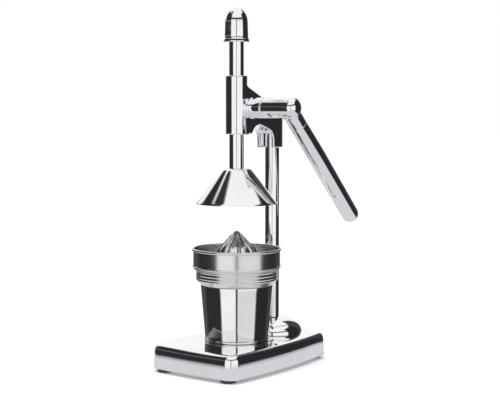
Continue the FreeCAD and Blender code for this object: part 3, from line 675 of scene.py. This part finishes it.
BELL_TOP = 217.5
bell_line = filleted([
    (5.0, BELL_TOP, 0), (15.0, BELL_TOP, 3.2), (43.6, 180.5, 1.2), (44.5, 178.9, 0.5), (43.3, 178.9, 0.5),
    (42.4, 180.3, 0.8), (15.3, 214.5, 1.5), (5.0, 214.5, 0),
], 8)
bell = turned("bell", stretched(bell_line, 4), closed=True, around=192)
piece("bell", bell, "polished_chrome", "ram", "press_bell")


def ram_bar():
    """The ram's bar: a circle of radius 8, its back cut to a rack. Across the cut the back is the least of
    the circle and the tooth line, which steps between tip and root twice in each pitch."""
    gear_module = 1.5
    pitch = math.pi * gear_module
    tip, root, uncut = 7.0, 3.625, 9.0
    tip_half, root_half, half_cut = 1.787, 0.558, 4.2
    low, high = LEVER_Z - 3.5 * pitch, LEVER_Z + 10.5 * pitch
    heights = [BELL_TOP, BELL_TOP + 0.4, low, low]
    backs = [uncut, uncut, uncut, tip]
    for k in range(-3, 11):
        middle = LEVER_Z + k * pitch
        heights += [middle - tip_half, middle - root_half, middle + root_half, middle + tip_half]
        backs += [tip, root, root, tip]
    heights += [high, high, 356.2]
    backs += [tip, uncut, uncut]
    heights, backs = np.array(heights)[:, None], np.array(backs)[:, None]
    edge = math.acos(half_cut / ROD_RADIUS)
    turn = np.linspace(math.pi - edge, 2 * math.pi + edge, 130)[None, :]
    x = np.linspace(half_cut, -half_cut, 15)[None, :]
    back = np.minimum(np.sqrt(ROD_RADIUS ** 2 - x * x), backs)
    xs = np.hstack([ROD_RADIUS * np.cos(turn) + 0 * heights, x + 0 * heights])
    ys = np.hstack([ROD_RADIUS * np.sin(turn) + 0 * heights, back])
    points = np.stack([xs, ys, heights + 0 * xs], axis=-1)
    ends = [points[:1] * [0, 0, 1], points[-1:] * [0, 0, 1]]
    return grid_mesh("ram_bar", np.concatenate([ends[0], points, ends[1]]), False, True)


piece("ram_bar", ram_bar(), "polished_chrome", "ram", "ram_rod")


# Cup and strainer

cup_bead = arc_points((34.4, 30.9), 1.2, -150, 60, 16)
cup_line = np.vstack([
    [(0, 31.7), (33.2, 31.7), (33.9, 31.2), (33.9, 30.4)], cup_bead,
    stretched(np.array([[35.15, 32.9], [39.9, 90.2]]), 4),
    arc_points((39.4, 90.2), 0.5, 0, 180, 8),
    stretched(np.array([[38.9, 90.0], [34.9, 36.0]]), 6),
    [(34.4, 34.0), (33.2, 33.0), (31.5, 32.72), (0, 32.7)],
])
piece("cup", turned("cup", cup_line, around=192), "polished_steel", "cup", "juice_cup")

rib_depth, rib_pitch, rib_top = 0.55, 3.4, 106.2
rib_rows = np.linspace(rib_top, 97.6, 56)
rib_wave = 45.0 - rib_depth * (0.5 - 0.5 * np.cos((rib_top - rib_rows) / rib_pitch * 2 * math.pi))
strainer_line = np.vstack([
    arc_points((47.9, 129.1), 1.4, 195, -60, 22),
    [(47.95, 127.6), (47.9, 126.8)],
    stretched(np.array([[47.9, 126.0], [47.9, 112.0]]), 3),
    arc_points((47.9, 110.6), 0.9, 90, -90, 10),
    [(47.8, 109.4), (47.5, 108.3)],
    filleted([(47.5, 108.2, 0), (47.0, 107.6, 0.6), (45.0, 106.9, 0.4), (45.0, 106.3, 0)], 5),
    np.stack([rib_wave, rib_rows], axis=1),
    filleted([
        (45.0, 97.4, 0), (45.0, 96.5, 0.8), (40.5, 91.1, 0.7), (38.4, 90.95, 0.3), (37.9, 84.1, 0.3),
        (36.8, 84.0, 0.3),
    ], 6),
    filleted([
        (37.2, 90.9, 0), (37.3, 92.0, 0.8), (43.0, 98.0, 0.8), (43.1, 107.8, 0.6), (46.7, 109.2, 0.6),
        (46.7, 127.4, 0),
    ], 6),
])
strainer = turned("strainer", strainer_line, closed=True, around=192)
piece("strainer", strainer, "satin_steel", "strainer", "strainer_bowl")
smoothed_copy("reamer_cone", "satin_steel", "strainer")


# Feet

def foot_line():
    """A tapered pad with three shallow rings in its sole, a neck above it and a sunk hole for its screw."""
    return filleted([
        (2.1, 3.0, 0), (4.0, 3.0, 0.2), (4.0, 0.0, 0.3), (4.9, 0.0, 0.2), (5.1, 0.4, 0.1), (5.4, 0.0, 0.1),
        (6.1, 0.0, 0.1), (6.3, 0.4, 0.1), (6.6, 0.0, 0.1), (7.8, 0.0, 0.5), (8.5, 3.4, 0.5), (5.5, 3.4, 0.4),
        (5.5, 9.0, 0.2), (2.1, 9.0, 0), (2.1, 3.0, 0),
    ])


for row, y in (("front", -70.5), ("rear", 86.5)):
    for hand, x in (("left", -43.0), ("right", 43.0)):
        foot = "foot_" + row + "_" + hand
        pad = turned(foot + "_pad", foot_line(), (x, y), around=64)
        piece(foot + "_pad", pad, "black_rubber", "stand", foot)


# Every CAD node that still shows gets its finish

for entry in frame["record"]["subparts"]:
    shown = frame["nodes"][entry["node"]]
    if not shown.hide_render:
        shown.data.materials.clear()
        shown.data.materials.append(FINISH[entry["material_slot"]])


# Floor, light and camera

CAMERA = Vector((0.7922, -1.0325, 0.2864)) + Vector(RAM_PLACE)
FORWARD = Vector((-0.5979, 0.7976, -0.0795))
CAMERA_TURN = -52.5
BALL_HEIGHT = 0.2
LAMP_TARGET = Vector((0, 0.03, 0.15))


def glow(name, colour):
    """A card seen in reflections, which fades to clear where its attribute "veil" falls to nothing."""
    material = bpy.data.materials.new(name)
    material.use_nodes = True
    tree = material.node_tree
    tree.nodes.clear()
    shine = tree.nodes.new("ShaderNodeEmission")
    shine.inputs["Color"].default_value = (*colour, 1)
    clear = tree.nodes.new("ShaderNodeBsdfTransparent")
    veil = tree.nodes.new("ShaderNodeAttribute")
    veil.attribute_name = "veil"
    fade = tree.nodes.new("ShaderNodeMixShader")
    tree.links.new(veil.outputs["Fac"], fade.inputs["Fac"])
    tree.links.new(clear.outputs["BSDF"], fade.inputs[1])
    tree.links.new(shine.outputs["Emission"], fade.inputs[2])
    output = tree.nodes.new("ShaderNodeOutputMaterial")
    tree.links.new(fade.outputs["Shader"], output.inputs["Surface"])
    return material


def stage_card(name, points, material, veil=None, camera=False, diffuse=False, glossy=True):
    """A card in metres that belongs to the studio, seen only by the rays that are named."""
    index = np.arange(points.shape[0] * points.shape[1]).reshape(points.shape[:2])
    quads = np.stack([index[:-1, :-1], index[:-1, 1:], index[1:, 1:], index[1:, :-1]], axis=-1).reshape(-1, 4)
    mesh = bpy.data.meshes.new(name)
    mesh.from_pydata(points.reshape(-1, 3).tolist(), [], quads.tolist())
    shade = mesh.attributes.new("veil", "FLOAT", "POINT")
    shade.data.foreach_set("value", np.ones(len(mesh.vertices)) if veil is None else veil.ravel())
    card = bpy.data.objects.new(name, mesh)
    bpy.context.scene.collection.objects.link(card)
    mesh.materials.append(material)
    card.visible_camera = camera
    card.visible_diffuse = diffuse
    card.visible_glossy = glossy
    card.visible_transmission = camera
    card.visible_shadow = False
    card.visible_volume_scatter = False


def faded(value, low, high, width):
    """One between two values and nothing outside them, with smooth sides of a width."""
    rise = np.clip((value - low) / width, 0, 1)
    fall = np.clip((high - value) / width, 0, 1)
    share = np.minimum(rise, fall)
    return share * share * (3 - 2 * share)


def round_card(name, turns, levels, radius, colour, softness):
    """A part of a ball about the press, between two turns from the camera and two elevations in degrees,
    with edges that fade over two widths, sideways and upwards."""
    side = np.linspace(*turns, 60)[None, :]
    level = np.linspace(*levels, 40)[:, None]
    turn = np.radians(side + CAMERA_TURN)
    rise = np.radians(level)
    points = radius * np.stack([
        np.cos(rise) * np.cos(turn), np.cos(rise) * np.sin(turn), np.sin(rise) + 0 * turn,
    ], axis=-1)
    veil = faded(side, *turns, softness[0]) * faded(level, *levels, softness[1])
    stage_card(name, points + RAM_PLACE + [0, 0, BALL_HEIGHT], glow(name + "_glow", colour), veil)


# Name, turns, elevations, ball's radius in metres, colour and softness of the edges
for card in (
        ("dark_left", (-160, -50), (-36, 14), 2.4, (0.028, 0.028, 0.032), (6, 4)),
        ("dark_left_high", (-138, -50), (9, 50), 2.42, (0.028, 0.028, 0.032), (8, 6)),
        ("dark_crown", (-102, -56), (42, 68), 2.44, (0.035, 0.035, 0.04), (10, 8)),
        ("dark_right", (62, 160), (-31, 50), 2.4, (0.024, 0.024, 0.028), (6, 5)),
        ("dusk_left", (-158, -112), (-36, 12), 2.3, (0.075, 0.076, 0.08), (16, 5)),
        ("dusk_right", (116, 158), (-28, 48), 2.3, (0.065, 0.066, 0.07), (16, 8)),
        ("dark_middle", (-5, 5), (-42, 27), 2.35, (0.04, 0.04, 0.045), (3.5, 4)),
        ("dark_gap", (-60, 70), (20, 34), 2.38, (0.03, 0.03, 0.034), (6, 4)),
        ("pale_right", (4, 70), (-42, -7), 2.6, (0.76, 0.765, 0.78), (3, 5)),
        ("pale_right_high", (4, 70), (13, 24), 2.6, (0.76, 0.765, 0.78), (3, 3))):
    round_card(*card)


def flat_disc(name, radius, height, colour):
    """A level disc under the press, seen only in reflections."""
    turn = np.linspace(0, 2 * math.pi, 49)
    rings = np.linspace(0, radius, 12)
    points = np.stack([
        np.outer(rings, np.cos(turn)), np.outer(rings, np.sin(turn)), np.full((12, 49), height),
    ], axis=-1)
    fade = 0.3 * radius
    veil = np.repeat(np.clip((radius - rings) / fade, 0, 1)[:, None], 49, axis=1)
    stage_card(name, points, glow(name, colour), veil)


flat_disc("low_grey", 2.3, -0.8, (0.70, 0.705, 0.72))


def skirt_card():
    """A low pale fence just outside the tray, which its skirt reflects as it would a pale floor."""
    gap, low, high, fade = 15.0, -2.0, 17.5, 3.5
    centre, out = tray_outline()
    plan = centre + out * (TRAY_CORNER + gap)
    plan = np.vstack([plan, plan[:1]])
    levels = np.linspace(low, high, 9)
    points = np.stack([np.column_stack([plan, np.full(len(plan), level)]) for level in levels]) * MM
    veil = np.clip((high - levels) / fade, 0, 1)[:, None] * np.ones(len(plan))
    stage_card("skirt_card", points + RAM_PLACE, glow("skirt_card_glow", (0.70, 0.71, 0.73)), veil)


skirt_card()

floor_material = bpy.data.materials.new("floor")
floor_material.use_nodes = True
floor_tree = floor_material.node_tree
floor_shader = floor_tree.nodes["Principled BSDF"]
floor_shader.inputs["Roughness"].default_value = 1.0
floor_shader.inputs["Specular IOR Level"].default_value = 0.0
floor_shader.inputs["Base Color"].default_value = (0.90, 0.90, 0.91, 1)
floor_shader.inputs["Emission Color"].default_value = (1, 1, 1, 1)
floor_shader.inputs["Emission Strength"].default_value = 0.12
wide = np.array([[(-9, -9, 0), (9, -9, 0)], [(-9, 9, 0), (9, 9, 0)]], float)
stage_card("floor", wide, floor_material, camera=True, diffuse=True, glossy=False)

world = bpy.data.worlds.new("studio")
bpy.context.scene.world = world
world.use_nodes = True
sky = world.node_tree
back = sky.nodes["Background"]
back.inputs["Color"].default_value = (1, 1, 1, 1)
back.inputs["Strength"].default_value = 1.0
soft = sky.nodes.new("ShaderNodeBackground")
soft.inputs["Color"].default_value = (0.94, 0.96, 1.0, 1)
soft.inputs["Strength"].default_value = 1.1
rays = sky.nodes.new("ShaderNodeLightPath")
choose = sky.nodes.new("ShaderNodeMixShader")
straight = sky.nodes.new("ShaderNodeMath")
straight.operation = "MAXIMUM"
sky.links.new(rays.outputs["Is Camera Ray"], straight.inputs[0])
sky.links.new(rays.outputs["Is Glossy Ray"], straight.inputs[1])
sky.links.new(straight.outputs["Value"], choose.inputs["Fac"])
sky.links.new(soft.outputs["Background"], choose.inputs[1])
sky.links.new(back.outputs["Background"], choose.inputs[2])
sky.links.new(choose.outputs["Shader"], sky.nodes["World Output"].inputs["Surface"])


def soft_lamp(name, place, size, power):
    """A square soft lamp aimed at the lower part of the press."""
    data = bpy.data.lights.new(name, "AREA")
    data.size = size
    data.energy = power
    lamp = bpy.data.objects.new(name, data)
    bpy.context.scene.collection.objects.link(lamp)
    lamp.visible_glossy = False
    lamp.location = place
    lamp.rotation_euler = (LAMP_TARGET - Vector(place)).to_track_quat("-Z", "Y").to_euler()


soft_lamp("lamp_over", (-0.2, -0.1, 1.7), 1.3, 9.0)
soft_lamp("lamp_left", (-0.9, -1.6, 0.9), 0.8, 5.0)

camera_data = bpy.data.cameras.new("camera")
camera_data.lens = 86.27
camera_data.sensor_width = 36.0
camera_data.clip_end = 100.0
camera_data.dof.use_dof = False
camera = bpy.data.objects.new("camera", camera_data)
bpy.context.scene.collection.objects.link(camera)
camera.location = CAMERA
camera.rotation_euler = FORWARD.to_track_quat("-Z", "Y").to_euler()
bpy.context.scene.camera = camera
bpy.context.scene.view_settings.view_transform = "Standard"
